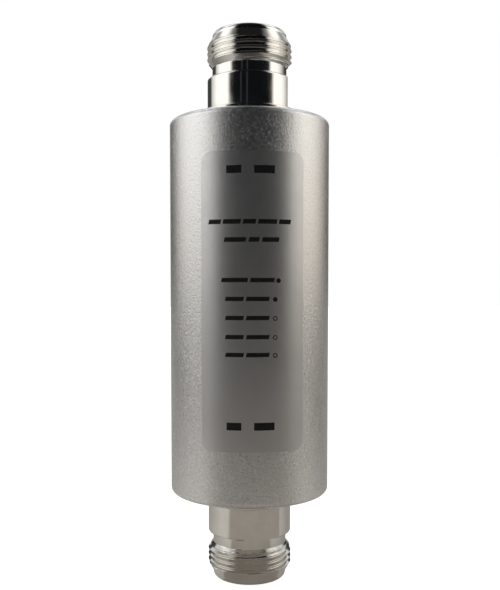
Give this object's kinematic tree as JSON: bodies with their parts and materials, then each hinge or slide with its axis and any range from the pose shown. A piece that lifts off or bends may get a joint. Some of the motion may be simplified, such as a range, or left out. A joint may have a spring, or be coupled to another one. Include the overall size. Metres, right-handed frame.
{
  "type": "coaxial rf attenuator",
  "caption": "In-line coaxial RF attenuator: round bead-blasted aluminium body with a threaded female jack on each end and a plain label, lowering signal level while passing direct current.",
  "frame": {"origin": "centre of the lower jack's front rim, where the part stands", "axes": "+Z along the part's axis towards the upper jack, -Y out of the label"},
  "size_m": [0.03, 0.0301, 0.1032],
  "materials": {
    "blasted_aluminium": "bead-blasted",
    "label_film": "matte printed film",
    "nickel_plate": "bright nickel plate",
    "seal_rubber": "matte",
    "white_dielectric": "waxy",
    "gold_plate": "gold plated",
    "carrier_aluminium": "machined",
    "board_laminate": "satin",
    "copper": "bright",
    "chip_ceramic": "matte",
    "screw_steel": "satin",
    "capacitor_ceramic": "matte",
    "ferrite": "matte",
    "wire_sleeve": "smooth"
  },
  "bodies": {
    "root": {"housing": "blasted_aluminium", "label": "label_film", "end_cap": "blasted_aluminium", "end_cap_seal": "seal_rubber", "upper_connector_shell": "nickel_plate", "lower_connector_shell": "nickel_plate", "upper_connector_seal": "seal_rubber", "lower_connector_seal": "seal_rubber", "upper_insulator": "white_dielectric", "lower_insulator": "white_dielectric", "upper_center_contact": "gold_plate", "lower_center_contact": "gold_plate", "upper_retaining_bush": "nickel_plate", "lower_retaining_bush": "nickel_plate", "carrier": "carrier_aluminium", "upper_board": "board_laminate", "lower_board": "board_laminate", "chip_flange": "copper", "attenuator_chip": "chip_ceramic", "chip_cover": "chip_ceramic", "chip_tabs": "gold_plate", "flange_screws": "screw_steel", "board_screws": "screw_steel", "blocking_capacitors": "capacitor_ceramic", "bypass_capacitors": "capacitor_ceramic", "choke_cores": "ferrite", "choke_windings": "copper", "bypass_link": "wire_sleeve"}
  },
  "joints": []
}
